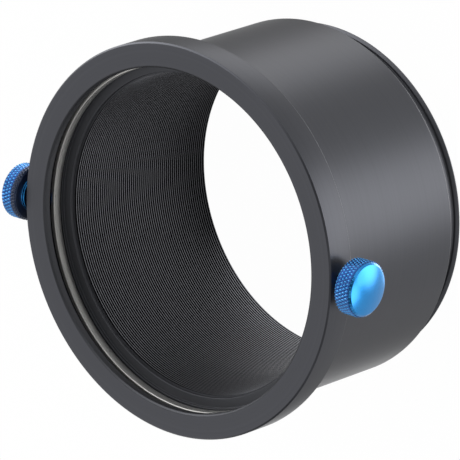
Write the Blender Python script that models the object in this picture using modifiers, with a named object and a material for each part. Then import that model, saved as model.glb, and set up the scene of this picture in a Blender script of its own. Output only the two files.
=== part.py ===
"""Extension tube for a 76.2 mm (3 in) optical barrel.

One turned tube with a clamping collar at its front end and an undercut spigot at its rear end.
The collar holds a split compression ring in a groove, and two knurled thumbscrews press on it.
The tube stands on its rear end: +Z runs along its axis to the front face, and +X to the right screw.
"""

import math

import bmesh
import bpy
from mathutils import Euler

MM = 0.001

# Lengths along the axis. The rear end is at z = 0 and the front face is at z = TUBE_LENGTH.
TUBE_LENGTH = 50.0 * MM
COLLAR_WIDTH = 6.9 * MM
SPIGOT_LENGTH = 5.0 * MM
RIM_WIDTH = 1.0 * MM

# The barrel size that the spigot has and the socket takes, and the walls and steps round it.
BARREL_RADIUS = 38.1 * MM
SPIGOT_WALL = 2.4 * MM
UNDERCUT_DEPTH = 1.1 * MM
BODY_STEP = 1.8 * MM
COLLAR_WALL = 3.9 * MM

# The socket that takes the next barrel, with depths from the front face.
SOCKET_CLEARANCE = 0.1 * MM
SOCKET_DEPTH = 6.3 * MM
SOCKET_LEAD_IN = 0.4 * MM
SOCKET_FILLET = 0.2 * MM
GROOVE_START = 1.8 * MM
GROOVE_WIDTH = 3.8 * MM

# The plain land between the socket's shoulder and the bore whose ridges kill stray light.
LAND_STEP = 0.35 * MM
LAND_WIDTH = 0.85 * MM

# Small bevels that the lathe leaves on the edges.
COLLAR_BEVEL = 0.3 * MM
BODY_BEVEL = 0.4 * MM
RIM_BEVEL = 0.25 * MM

# The compression ring, flush with the socket's wall and loose in its groove.
RING_THICKNESS = 1.0 * MM
RING_WIDTH = 2.05 * MM
RING_EDGE_RADIUS = 0.4 * MM
RING_PLAY = 0.7 * MM
RING_SLOT = 2.5 * MM
SEAT_GAP = 0.3 * MM

# The thumbscrews, which share one shape and stand backed out by different amounts.
THREAD_RADIUS = 2.0 * MM
THREAD_CLEARANCE = 0.1 * MM
NOSE_STEP = 0.5 * MM
NOSE_LENGTH = 0.9 * MM
NOSE_CLEARANCE = 0.1 * MM
NOSE_BEVEL = 0.25 * MM
SHOULDER_RADIUS = 3.9 * MM
SHOULDER_HEIGHT = 0.9 * MM
SHOULDER_BEVEL = 0.2 * MM
SHOULDER_CLEARANCE = 0.3 * MM
HEAD_RADIUS = 6.15 * MM
HEAD_BEVEL = 0.25 * MM
KNURL_DEPTH = 0.25 * MM
KNURL_PITCH = 0.7 * MM
KNURL_ROWS = 10
KNURL_DIAMONDS = 50
DOME_EDGE_HEIGHT = 0.45 * MM
DOME_EDGE_STEP = 0.2 * MM
DOME_HEIGHT = 0.8 * MM
LEFT_BACKED_OUT = 0.3 * MM
RIGHT_BACKED_OUT = 1.6 * MM

# Fineness of the round shapes.
TUBE_STEPS = 80
RING_STEPS = 72
HOLE_STEPS = 32
SHANK_STEPS = 24
DOME_RINGS = 4
EDGE_RINGS = 3
CUTTER_OVERRUN = 1.0 * MM
FLOOR_OVERRUN = 0.2 * MM

# Radii and places that follow from the sizes above.
BORE_RADIUS = BARREL_RADIUS - SPIGOT_WALL
LAND_RADIUS = BORE_RADIUS + LAND_STEP
BODY_RADIUS = BARREL_RADIUS + BODY_STEP
SOCKET_RADIUS = BARREL_RADIUS + SOCKET_CLEARANCE
RING_INNER_RADIUS = SOCKET_RADIUS
RING_OUTER_RADIUS = RING_INNER_RADIUS + RING_THICKNESS
GROOVE_RADIUS = RING_OUTER_RADIUS + RING_PLAY
COLLAR_RADIUS = GROOVE_RADIUS + COLLAR_WALL
GROOVE_BACK = TUBE_LENGTH - GROOVE_START - GROOVE_WIDTH
RING_BOTTOM = GROOVE_BACK + SEAT_GAP
THREAD_LENGTH = RING_PLAY + COLLAR_WALL + SHOULDER_CLEARANCE - NOSE_LENGTH
NOSE_RADIUS = THREAD_RADIUS - NOSE_STEP
SCREW_HEIGHT = GROOVE_BACK + NOSE_CLEARANCE + NOSE_RADIUS
KNURL_ROOT = HEAD_RADIUS - KNURL_DEPTH
DOME_RADIUS = KNURL_ROOT - DOME_EDGE_STEP
MERGE_DISTANCE = 0.001 * MM


def arc(centre_r, centre_z, radius, start, end, pieces):
    """Points (r, z) on an arc, with angles in degrees, from the axis's outward direction."""
    points = []
    for i in range(pieces + 1):
        angle = math.radians(start + (end - start) * i / pieces)
        points.append((centre_r + radius * math.cos(angle), centre_z + radius * math.sin(angle)))
    return points


def clear_scene():
    for obj in list(bpy.data.objects):
        bpy.data.objects.remove(obj, do_unlink=True)


def make_collection(name):
    collection = bpy.data.collections.new(name)
    bpy.context.scene.collection.children.link(collection)
    return collection


def make_material(name, colour, metallic, roughness):
    material = bpy.data.materials.new(name)
    material.use_nodes = True
    shader = material.node_tree.nodes["Principled BSDF"]
    shader.inputs["Base Color"].default_value = (*colour, 1.0)
    shader.inputs["Metallic"].default_value = metallic
    shader.inputs["Roughness"].default_value = roughness
    material.diffuse_color = (*colour, 1.0)
    return material


def add_turned(name, profile, steps, collection):
    """Turns a closed outline of (r, z) points, which runs down its outer side, round the Z axis."""
    mesh = bpy.data.meshes.new(name)
    points = [(r, 0.0, z) for r, z in profile]
    edges = [(i, (i + 1) % len(points)) for i in range(len(points))]
    mesh.from_pydata(points, edges, [])
    obj = bpy.data.objects.new(name, mesh)
    collection.objects.link(obj)
    turn = obj.modifiers.new("Turn", "SCREW")
    turn.axis = "Z"
    turn.steps = steps
    turn.render_steps = steps
    turn.use_merge_vertices = True
    turn.merge_threshold = MERGE_DISTANCE
    return obj


def add_cutter(name, mesh, collection):
    cutter = bpy.data.objects.new(name, mesh)
    cutter.hide_render = True
    cutter.display_type = "WIRE"
    collection.objects.link(cutter)
    return cutter


def cut(obj, cutter):
    boolean = obj.modifiers.new(cutter.name, "BOOLEAN")
    boolean.operation = "DIFFERENCE"
    boolean.solver = "EXACT"
    boolean.object = cutter


def finish(obj, material, sharp_degrees=25.0):
    """Turns the modifiers' result into the object's own mesh, with smooth walls and sharp edges."""
    graph = bpy.context.evaluated_depsgraph_get()
    mesh = bpy.data.meshes.new_from_object(obj.evaluated_get(graph))
    obj.modifiers.clear()
    obj.data = mesh
    mesh.name = obj.name
    mesh.materials.clear()
    mesh.materials.append(material)
    mesh.shade_smooth()
    mesh.set_sharp_from_angle(angle=math.radians(sharp_degrees))


def tube_outline():
    """The tube's section, from the front face's outer edge down the outside and up the inside."""
    front = TUBE_LENGTH
    collar_back = front - COLLAR_WIDTH
    neck_radius = BARREL_RADIUS - UNDERCUT_DEPTH
    shoulder = front - SOCKET_DEPTH
    outside = [
        (COLLAR_RADIUS - COLLAR_BEVEL, front),
        (COLLAR_RADIUS, front - COLLAR_BEVEL),
        (COLLAR_RADIUS, collar_back + COLLAR_BEVEL),
        (COLLAR_RADIUS - COLLAR_BEVEL, collar_back),
        (BODY_RADIUS, collar_back),
        (BODY_RADIUS, SPIGOT_LENGTH + BODY_BEVEL),
        (BODY_RADIUS - BODY_BEVEL, SPIGOT_LENGTH),
    ]
    spigot = [
        (neck_radius, SPIGOT_LENGTH),
        (neck_radius, RIM_WIDTH),
        (BARREL_RADIUS, RIM_WIDTH),
        (BARREL_RADIUS, RIM_BEVEL),
        (BARREL_RADIUS - RIM_BEVEL, 0.0),
    ]
    light_path = [
        (BORE_RADIUS + RIM_BEVEL, 0.0),
        (BORE_RADIUS, RIM_BEVEL),
        (BORE_RADIUS, shoulder - LAND_WIDTH),
        (LAND_RADIUS, shoulder - LAND_WIDTH),
        (LAND_RADIUS, shoulder),
    ]
    socket = [
        (SOCKET_RADIUS - SOCKET_FILLET, shoulder),
        (SOCKET_RADIUS, shoulder + SOCKET_FILLET),
        (SOCKET_RADIUS, GROOVE_BACK),
        (GROOVE_RADIUS, GROOVE_BACK),
        (GROOVE_RADIUS, front - GROOVE_START),
        (SOCKET_RADIUS, front - GROOVE_START),
        (SOCKET_RADIUS, front - SOCKET_LEAD_IN),
        (SOCKET_RADIUS + SOCKET_LEAD_IN, front),
    ]
    return outside + spigot + light_path + socket


def screw_hole_cutter(name, side, cutters):
    """A cylinder along X that drills one tapped hole from outside into the ring's groove."""
    inner = GROOVE_RADIUS - FLOOR_OVERRUN
    outer = COLLAR_RADIUS + CUTTER_OVERRUN
    mesh = bpy.data.meshes.new(name)
    drill = bmesh.new()
    bmesh.ops.create_cone(
        drill,
        cap_ends=True,
        segments=HOLE_STEPS,
        radius1=THREAD_RADIUS + THREAD_CLEARANCE,
        radius2=THREAD_RADIUS + THREAD_CLEARANCE,
        depth=outer - inner,
    )
    drill.to_mesh(mesh)
    drill.free()
    cutter = add_cutter(name, mesh, cutters)
    cutter.rotation_euler = (0.0, math.radians(90.0), 0.0)
    cutter.location = (side * (inner + outer) / 2, 0.0, SCREW_HEIGHT)
    return cutter


def build_tube(parts, cutters, material):
    tube = add_turned("tube", tube_outline(), TUBE_STEPS, parts)
    cut(tube, screw_hole_cutter("right_hole_cutter", 1, cutters))
    cut(tube, screw_hole_cutter("left_hole_cutter", -1, cutters))
    finish(tube, material)
    return tube


def ring_outline():
    """The ring's section: square outside, and rounded where it meets the barrel."""
    inner = RING_INNER_RADIUS
    low = RING_BOTTOM
    high = RING_BOTTOM + RING_WIDTH
    rounded = RING_EDGE_RADIUS
    lower = arc(inner + rounded, low + rounded, rounded, 270.0, 180.0, EDGE_RINGS)
    upper = arc(inner + rounded, high - rounded, rounded, 180.0, 90.0, EDGE_RINGS)
    return [(RING_OUTER_RADIUS, high), (RING_OUTER_RADIUS, low)] + lower + upper


def build_ring(parts, cutters, material):
    """The split ring lies against the -Y side of its groove, and its slot is at +Y."""
    ring = add_turned("compression_ring", ring_outline(), RING_STEPS, parts)
    slot_mesh = bpy.data.meshes.new("ring_slot_cutter")
    block = bmesh.new()
    bmesh.ops.create_cube(block, size=1.0)
    slot_size = (RING_SLOT, 2 * RING_THICKNESS + CUTTER_OVERRUN, RING_WIDTH + 2 * CUTTER_OVERRUN)
    bmesh.ops.scale(block, vec=slot_size, verts=block.verts)
    block.to_mesh(slot_mesh)
    block.free()
    slot = add_cutter("ring_slot_cutter", slot_mesh, cutters)
    slot.location = (0.0, (RING_INNER_RADIUS + RING_OUTER_RADIUS) / 2, RING_BOTTOM + RING_WIDTH / 2)
    cut(ring, slot)
    finish(ring, material)
    ring.location = (0.0, -RING_PLAY / 2, 0.0)
    return ring


def dome_outline():
    """The crowned outer face, from its edge to the axis, as a shallow arc."""
    edge_height = HEAD_BEVEL + KNURL_ROWS * KNURL_PITCH / 2 + DOME_EDGE_HEIGHT
    sphere = (DOME_RADIUS**2 + DOME_HEIGHT**2) / (2 * DOME_HEIGHT)
    centre = edge_height + DOME_HEIGHT - sphere
    half_angle = math.degrees(math.asin(DOME_RADIUS / sphere))
    return arc(0.0, centre, sphere, 90.0 - half_angle, 90.0, DOME_RINGS)


def spin_outline(mesh, outline, steps):
    """Turns an open outline of (r, z) points round the Z axis."""
    points = [mesh.verts.new((r, 0.0, z)) for r, z in outline]
    edges = [mesh.edges.new(pair) for pair in zip(points, points[1:])]
    bmesh.ops.spin(
        mesh,
        geom=points + edges,
        cent=(0.0, 0.0, 0.0),
        axis=(0.0, 0.0, 1.0),
        angle=math.tau,
        steps=steps,
        use_merge=True,
    )


def raise_knurl(mesh):
    """Lifts every other point of the knurled band, and folds its faces along the valleys."""
    row_height = KNURL_PITCH / 2
    column_angle = math.pi / KNURL_DIAMONDS
    raised = set()
    band = set()
    for point in mesh.verts:
        radius = math.hypot(point.co.x, point.co.y)
        row = round((point.co.z - HEAD_BEVEL) / row_height)
        off_row = abs(point.co.z - HEAD_BEVEL - row * row_height)
        if abs(radius - KNURL_ROOT) > MERGE_DISTANCE or off_row > MERGE_DISTANCE:
            continue
        band.add(point)
        column = round(math.atan2(point.co.y, point.co.x) / column_angle)
        if 0 < row < KNURL_ROWS and (row + column) % 2:
            point.co.x *= HEAD_RADIUS / radius
            point.co.y *= HEAD_RADIUS / radius
            raised.add(point)
    for face in list(mesh.faces):
        corners = list(face.verts)
        if len(corners) != 4 or not set(corners) <= band:
            continue
        peaks = [i for i in range(4) if corners[i] in raised]
        if peaks:
            valley = (peaks[0] + 1) % 4
            bmesh.utils.face_split(face, corners[valley], corners[(valley + 2) % 4])


def boundary_edges(mesh):
    return [edge for edge in mesh.edges if edge.is_boundary]


def thumbscrew_mesh(material):
    """One screw, with its axis along Z, its head's underside at z = 0 and its tip below."""
    rows = [(KNURL_ROOT, HEAD_BEVEL + i * KNURL_PITCH / 2) for i in range(KNURL_ROWS + 1)]
    underside = [(KNURL_ROOT - HEAD_BEVEL, 0.0)]
    head = bmesh.new()
    spin_outline(head, underside + rows + dome_outline(), 2 * KNURL_DIAMONDS)
    bmesh.ops.remove_doubles(head, verts=head.verts, dist=MERGE_DISTANCE)
    raise_knurl(head)

    shoulder_low = -SHOULDER_HEIGHT
    thread_low = shoulder_low - THREAD_LENGTH
    tip = thread_low - NOSE_LENGTH
    shank = [
        (SHOULDER_RADIUS, 0.0),
        (SHOULDER_RADIUS, shoulder_low + SHOULDER_BEVEL),
        (SHOULDER_RADIUS - SHOULDER_BEVEL, shoulder_low),
        (THREAD_RADIUS, shoulder_low),
        (THREAD_RADIUS, thread_low),
        (NOSE_RADIUS, thread_low),
        (NOSE_RADIUS, tip + NOSE_BEVEL),
        (NOSE_RADIUS - NOSE_BEVEL, tip),
        (0.0, tip),
    ]
    spin_outline(head, shank, SHANK_STEPS)
    bmesh.ops.remove_doubles(head, verts=head.verts, dist=MERGE_DISTANCE)
    bmesh.ops.triangle_fill(head, use_beauty=True, edges=boundary_edges(head))
    bmesh.ops.recalc_face_normals(head, faces=head.faces)

    mesh = bpy.data.meshes.new("thumbscrew")
    head.to_mesh(mesh)
    head.free()
    mesh.materials.append(material)
    mesh.shade_smooth()
    mesh.set_sharp_from_angle(angle=math.radians(25.0))
    return mesh


def build_thumbscrew(name, mesh, side, backed_out, parts):
    """Places a screw by its tip, which stands off the ring by the amount it is backed out."""
    tip = RING_OUTER_RADIUS + backed_out
    underside = tip + NOSE_LENGTH + THREAD_LENGTH + SHOULDER_HEIGHT
    screw = bpy.data.objects.new(name, mesh)
    screw.rotation_euler = Euler((0.0, side * math.radians(90.0), 0.0))
    screw.location = (side * underside, 0.0, SCREW_HEIGHT)
    parts.objects.link(screw)
    return screw


def main():
    clear_scene()
    parts = make_collection("extension_tube")
    cutters = make_collection("cutters")
    cutters.hide_render = True
    black = make_material("black_anodised_aluminium", (0.045, 0.046, 0.050), 0.9, 0.42)
    steel = make_material("bright_ring_steel", (0.62, 0.61, 0.58), 1.0, 0.25)
    blue = make_material("blue_anodised_aluminium", (0.01, 0.20, 0.62), 1.0, 0.25)
    build_tube(parts, cutters, black)
    build_ring(parts, cutters, steel)
    screw_mesh = thumbscrew_mesh(blue)
    build_thumbscrew("right_thumbscrew", screw_mesh, 1, RIGHT_BACKED_OUT, parts)
    build_thumbscrew("left_thumbscrew", screw_mesh, -1, LEFT_BACKED_OUT, parts)


main()
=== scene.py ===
# %% [markdown]
# # An extension tube, dressed for its picture
#
# The object is a short black tube that spaces two optical barrels apart. Its front end is a collar
# with a socket, where a silver split ring lies in a groove, and two blue thumbscrews press that
# ring on the barrel. The frame gives each piece as a plain solid at its real size. This script
# makes the fine surface over those solids: the ridges in the bore, the knurl and the threads of the
# screws, the rounded edges, and the finish of each metal.

import math

import bmesh
import bpy
from mathutils import Matrix, Vector


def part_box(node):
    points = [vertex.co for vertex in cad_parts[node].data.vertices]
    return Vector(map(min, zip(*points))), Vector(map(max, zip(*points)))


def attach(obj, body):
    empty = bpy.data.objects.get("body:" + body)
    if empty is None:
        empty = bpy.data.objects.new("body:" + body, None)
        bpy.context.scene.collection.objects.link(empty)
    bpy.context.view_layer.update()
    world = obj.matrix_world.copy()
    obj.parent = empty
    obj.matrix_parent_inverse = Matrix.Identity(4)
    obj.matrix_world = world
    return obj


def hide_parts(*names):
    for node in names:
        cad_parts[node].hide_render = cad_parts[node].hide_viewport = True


MM = 0.001

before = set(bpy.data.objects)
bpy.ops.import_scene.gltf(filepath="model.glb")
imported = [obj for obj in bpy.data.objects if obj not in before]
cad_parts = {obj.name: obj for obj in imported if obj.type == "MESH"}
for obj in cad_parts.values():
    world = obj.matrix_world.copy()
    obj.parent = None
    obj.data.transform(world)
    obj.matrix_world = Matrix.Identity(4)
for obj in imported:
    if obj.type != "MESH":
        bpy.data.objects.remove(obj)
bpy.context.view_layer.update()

# %% [markdown]
# ## The camera
#
# The photograph looks down into the front of the tube, and its camera is rolled: the tube's own
# axis runs from the lower left to the upper right. A very long lens and a distance of over a metre
# keep the far end of the tube nearly as large as the near one. So the camera is described by where
# it looks, by the direction and distance it looks from, and by how far it is rolled.

# %% Camera
CAMERA_AIM = Vector((15.65, 6.27, 50.09)) * MM
CAMERA_DISTANCE = 1401.3 * MM
CAMERA_AZIMUTH = math.radians(116.29)
CAMERA_ELEVATION = math.radians(45.91)
CAMERA_ROLL = math.radians(-108.51)
CAMERA_LENS = 515.7
CAMERA_REACH = 20.0
SENSOR_WIDTH = 36.0

camera_back = Vector((
    math.sin(CAMERA_AZIMUTH) * math.cos(CAMERA_ELEVATION),
    -math.cos(CAMERA_AZIMUTH) * math.cos(CAMERA_ELEVATION),
    math.sin(CAMERA_ELEVATION),
))
level_right = Vector((0.0, 0.0, 1.0)).cross(camera_back).normalized()
level_up = camera_back.cross(level_right)
camera_right = level_right * math.cos(CAMERA_ROLL) + level_up * math.sin(CAMERA_ROLL)
camera_up = camera_back.cross(camera_right)

camera = bpy.data.objects.new("camera", bpy.data.cameras.new("camera"))
camera.data.lens = CAMERA_LENS
camera.data.sensor_width = SENSOR_WIDTH
camera.data.clip_end = CAMERA_REACH
camera.matrix_world = Matrix.Translation(CAMERA_AIM + camera_back * CAMERA_DISTANCE) @ Matrix(
    (camera_right, camera_up, camera_back)
).transposed().to_4x4()
bpy.context.scene.collection.objects.link(camera)
bpy.context.scene.camera = camera
print("Camera at", [round(x, 4) for x in camera.matrix_world.translation])

# %% [markdown]
# ## Two helpers for node trees
#
# Blender's materials and its Geometry Nodes are both graphs. One function adds a node to either
# kind: it takes the node's settings by name, and fills its inputs with plain values or with the
# outputs of other nodes. A second function turns a colour as it is written for the screen, in hex,
# into the linear light that the renderer works with.

# %% Node and colour helpers
def add(tree, kind, inputs=None, **settings):
    """Adds one node to a tree, with its settings and its filled inputs, and returns it."""
    node = tree.nodes.new(kind)
    for name, value in settings.items():
        setattr(node, name, value)
    for key, value in (inputs or {}).items():
        if isinstance(value, bpy.types.NodeSocket):
            tree.links.new(value, node.inputs[key])
        else:
            node.inputs[key].default_value = value
    return node


def linear(hex_colour):
    """An sRGB colour such as "4C4D52" as linear (r, g, b, 1)."""
    channels = [int(hex_colour[i:i + 2], 16) / 255 for i in (0, 2, 4)]
    channels = [c / 12.92 if c <= 0.04045 else ((c + 0.055) / 1.055) ** 2.4 for c in channels]
    return (*channels, 1.0)


print("Mid grey 808080 in linear light:", round(linear("808080")[0], 3))

# %% [markdown]
# ## The marks of the lathe
#
# The tube and its ring are turned, and a lathe leaves fine rings round the axis. Noise that is read
# at each point's distance from the axis and height along it, and not at its angle, runs round in
# just such rings. Their real spacing, under a tenth of a millimetre, is too fine for this picture,
# so they are drawn about three times as coarse.

# %% Helpers for turned metal
LATHE_RING = 0.28 * MM
RELIEF_HEIGHT = 0.01 * MM


def principled(name):
    """A new material, its node tree and the tree's main shader."""
    material = bpy.data.materials.new(name)
    material.use_nodes = True
    tree = material.node_tree
    return material, tree, tree.nodes["Principled BSDF"]


def turned_place(tree):
    """Each point's distance from the tube's axis, its height along the axis, and its place."""
    place = add(tree, "ShaderNodeTexCoord")
    split = add(tree, "ShaderNodeSeparateXYZ", {0: place.outputs["Object"]})
    flat = add(tree, "ShaderNodeCombineXYZ", {0: split.outputs[0], 1: split.outputs[1]})
    radius = add(tree, "ShaderNodeVectorMath", {0: flat.outputs[0]}, operation="LENGTH")
    return radius.outputs["Value"], split.outputs[2], place.outputs["Object"]


def lathe_rings(tree, radius, height):
    """Noise that runs round the axis in fine rings."""
    across = add(tree, "ShaderNodeCombineXYZ", {0: radius, 1: height})
    rings = add(tree, "ShaderNodeTexNoise", {
        "Vector": across.outputs[0], "Scale": 1 / LATHE_RING, "Detail": 2.0,
    })
    return rings.outputs[0]


print("Lathe rings are drawn", round(LATHE_RING / MM, 2), "mm apart")

# %% [markdown]
# ## Black anodised aluminium
#
# The tube is turned from aluminium, blasted a little, and anodised black. Anodising leaves a thin
# dyed oxide on the metal, so it still reflects like a metal, but darkly and with a satin sheen. The
# lathe's rings and the grain of the blasting are felt on the outside alone. The grain is about
# 0.05 mm on a real tube, too fine to show here, and is drawn at 0.12 mm.
#
# Inside, the finish is more matt, and the black follows the distance from the axis and the height.
# The crests of the bore's ridges are painted pale, which is painted light, and the grooves between
# them are painted nearly black, which is painted shade: grooves that swallow light are what they
# are for, and they are narrower than a pixel of the picture. The neck behind the body lies in
# shade, and its paler black is painted light.

# %% Where each black lies
OUTSIDE_BLACK = "4F5055"
INSIDE_BLACK = "48494D"
# Painted light on the crests of the bore's ridges, and painted shade in the grooves between them.
CREST_PAINTED_LIGHT = "7C7D82"
GROOVE_PAINTED_SHADE = "0D0E10"
# Painted light on the neck behind the body, which lies in shade.
NECK_PAINTED_LIGHT = "5A5B60"
# Distances from the tube's axis.
OUTSIDE_FROM = 38.6 * MM
OUTSIDE_FULL = 38.7 * MM
CREST_RADIUS = 35.7 * MM
GROOVE_FROM = CREST_RADIUS + 0.01 * MM
GROOVE_FULL = CREST_RADIUS + 0.1 * MM
RIDGES_WITHIN = CREST_RADIUS + 0.45 * MM
# Heights above the tube's rear end.
tube_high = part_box("tube")[1]
RIDGES_END = tube_high.z - 7.2 * MM
NECK_END = 4.98 * MM


def black_by_place(tree, radius, height):
    """The black at each point, painted light and shade included, and a mask that is 1 on the
    outside of the tube.
    """
    # Painted light on the crests and painted shade in the grooves, by distance from the axis.
    groove = add(tree, "ShaderNodeMapRange", {
        "Value": radius, "From Min": GROOVE_FROM, "From Max": GROOVE_FULL,
    })
    ridges = add(tree, "ShaderNodeMix", {
        0: groove.outputs[0], 6: linear(CREST_PAINTED_LIGHT), 7: linear(GROOVE_PAINTED_SHADE),
    }, data_type="RGBA")
    narrow = add(tree, "ShaderNodeMath", {0: radius, 1: RIDGES_WITHIN}, operation="LESS_THAN")
    behind = add(tree, "ShaderNodeMath", {0: height, 1: RIDGES_END}, operation="LESS_THAN")
    ridged = add(tree, "ShaderNodeMath", {
        0: narrow.outputs[0], 1: behind.outputs[0],
    }, operation="MULTIPLY")
    # Painted light on the neck behind the body, below this height.
    low = add(tree, "ShaderNodeMath", {0: height, 1: NECK_END}, operation="LESS_THAN")
    inside_with_painted_neck_light = add(tree, "ShaderNodeMix", {
        0: low.outputs[0], 6: linear(INSIDE_BLACK), 7: linear(NECK_PAINTED_LIGHT),
    }, data_type="RGBA")
    interior = add(tree, "ShaderNodeMix", {
        0: ridged.outputs[0], 6: inside_with_painted_neck_light.outputs[2], 7: ridges.outputs[2],
    }, data_type="RGBA")
    outside = add(tree, "ShaderNodeMapRange", {
        "Value": radius, "From Min": OUTSIDE_FROM, "From Max": OUTSIDE_FULL,
    })
    colour = add(tree, "ShaderNodeMix", {
        0: outside.outputs[0], 6: interior.outputs[2], 7: linear(OUTSIDE_BLACK),
    }, data_type="RGBA")
    return colour.outputs[2], outside.outputs[0]


print("The ridges' black ends", round(RIDGES_END / MM, 2), "mm above the floor")

# %% Black anodised material
BLAST_GRAIN = 0.12 * MM
EVEN = 0.5
BLACK_TONES = (0.9, 1.1)
INSIDE_ROUGHNESS = 0.45
OUTSIDE_ROUGHNESS = 0.36
BLACK_RELIEF = 0.25
BLACK_METALLIC = 0.85


def make_black_anodised():
    material, tree, shader = principled("black_anodised_aluminium")
    radius, height, place = turned_place(tree)
    colour, outside = black_by_place(tree, radius, height)
    rings = lathe_rings(tree, radius, height)
    grain = add(tree, "ShaderNodeTexNoise", {
        "Vector": place, "Scale": 1 / BLAST_GRAIN, "Detail": 1.0,
    })
    felt_rings = add(tree, "ShaderNodeMix", {0: outside, 2: EVEN, 3: rings})
    felt_grain = add(tree, "ShaderNodeMix", {0: outside, 2: EVEN, 3: grain.outputs[0]})
    tone = add(tree, "ShaderNodeMapRange", {
        "Value": felt_rings.outputs[0], "To Min": BLACK_TONES[0], "To Max": BLACK_TONES[1],
    })
    varied = add(tree, "ShaderNodeVectorMath", {
        0: colour, "Scale": tone.outputs[0],
    }, operation="SCALE")
    roughness = add(tree, "ShaderNodeMapRange", {
        "Value": outside, "To Min": INSIDE_ROUGHNESS, "To Max": OUTSIDE_ROUGHNESS,
    })
    relief = add(tree, "ShaderNodeMath", {
        0: felt_rings.outputs[0], 1: felt_grain.outputs[0],
    }, operation="ADD")
    bump = add(tree, "ShaderNodeBump", {
        "Height": relief.outputs[0], "Strength": BLACK_RELIEF, "Distance": RELIEF_HEIGHT,
    })
    tree.links.new(varied.outputs[0], shader.inputs["Base Color"])
    tree.links.new(roughness.outputs[0], shader.inputs["Roughness"])
    tree.links.new(bump.outputs[0], shader.inputs["Normal"])
    shader.inputs["Metallic"].default_value = BLACK_METALLIC
    return material


black_anodised = make_black_anodised()
print("Material:", black_anodised.name)

# %% [markdown]
# ## Blue anodised aluminium
#
# The screws have the same oxide with a blue dye, over metal that was turned smooth and left bright.
# Light goes through the dye, meets the metal and comes back blue, so it is a metal with a blue
# colour. The sealed oxide over it is clear, and adds a thin white gloss of its own: that is the
# coat. The knurl's valleys are painted a deeper blue, which is painted shade, while the tops of the
# knurl stay bright, so the colour follows the distance from the screw's axis. The shank is painted
# the same deep blue, painted shade as well. The underside of the head, which the tool left rougher,
# is dull, and its dark colour is painted shade. Streaks of the polish, about half a millimetre
# wide, vary the tone and the gloss a little.

# %% Where each blue lies
BLUE = "2299E8"
# Painted shade in the knurl's valleys and on the shank.
PAINTED_SHADE_BLUE = "0B4E96"
TOP_BLUE = "3A95D8"
# Painted shade on the underside of the head.
UNDERSIDE_PAINTED_SHADE = "2C3A57"
# Out from the screw's axis: the knurl starts, its valleys end, and its tops begin.
KNURL_INNER = 5.87 * MM
KNURL_MIDDLE = 5.97 * MM
KNURL_OUTER = 6.12 * MM
right_low, right_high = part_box("right_thumbscrew")
screw_height = (right_low.z + right_high.z) / 2
# Nearer the tube than this, and further out than the small shoulder, lies the underside.
HEAD_BACK = right_high.x - 5.15 * MM
HEAD_BACK_INNER = 3.95 * MM


def blue_by_place(tree, place):
    """The blue at each point of a screw, painted shade included, and a mask that is 1 on the
    underside of its head.
    """
    split = add(tree, "ShaderNodeSeparateXYZ", {0: place})
    above = add(tree, "ShaderNodeMath", {
        0: split.outputs[2], 1: screw_height,
    }, operation="SUBTRACT")
    flat = add(tree, "ShaderNodeCombineXYZ", {0: split.outputs[1], 1: above.outputs[0]})
    length = add(tree, "ShaderNodeVectorMath", {0: flat.outputs[0]}, operation="LENGTH")
    radius = length.outputs["Value"]
    # Painted shade deepens the knurl's valleys, by distance from the screw's axis.
    knurl = add(tree, "ShaderNodeMapRange", {
        "Value": radius, "From Min": KNURL_MIDDLE, "From Max": KNURL_OUTER,
    })
    knurl_with_painted_shade = add(tree, "ShaderNodeMix", {
        0: knurl.outputs[0], 6: linear(PAINTED_SHADE_BLUE), 7: linear(TOP_BLUE),
    }, data_type="RGBA")
    on_knurl = add(tree, "ShaderNodeMath", {0: radius, 1: KNURL_INNER}, operation="GREATER_THAN")
    head = add(tree, "ShaderNodeMix", {
        0: on_knurl.outputs[0], 6: linear(BLUE), 7: knurl_with_painted_shade.outputs[2],
    }, data_type="RGBA")
    along = add(tree, "ShaderNodeMath", {0: split.outputs[0]}, operation="ABSOLUTE")
    # Painted shade on the shank.
    shank = add(tree, "ShaderNodeMath", {
        0: along.outputs[0], 1: tube_high.x,
    }, operation="LESS_THAN")
    screw = add(tree, "ShaderNodeMix", {
        0: shank.outputs[0], 6: head.outputs[2], 7: linear(PAINTED_SHADE_BLUE),
    }, data_type="RGBA")
    # Painted shade on the underside of the head; the same mask makes it rougher.
    behind = add(tree, "ShaderNodeMath", {
        0: along.outputs[0], 1: HEAD_BACK,
    }, operation="LESS_THAN")
    wide = add(tree, "ShaderNodeMath", {0: radius, 1: HEAD_BACK_INNER}, operation="GREATER_THAN")
    underside = add(tree, "ShaderNodeMath", {
        0: behind.outputs[0], 1: wide.outputs[0],
    }, operation="MULTIPLY")
    colour = add(tree, "ShaderNodeMix", {
        0: underside.outputs[0], 6: screw.outputs[2], 7: linear(UNDERSIDE_PAINTED_SHADE),
    }, data_type="RGBA")
    return colour.outputs[2], underside.outputs[0]


print("The screws' axis is", round(screw_height / MM, 2), "mm above the floor")

# %% Blue anodised material
POLISH_STREAK = 0.5 * MM
BLUE_TONES = (0.92, 1.08)
BLUE_ROUGHNESS = (0.18, 0.26)
UNDERSIDE_ROUGHNESS = 0.6
OXIDE_COAT = 0.7
OXIDE_ROUGHNESS = 0.12


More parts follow.
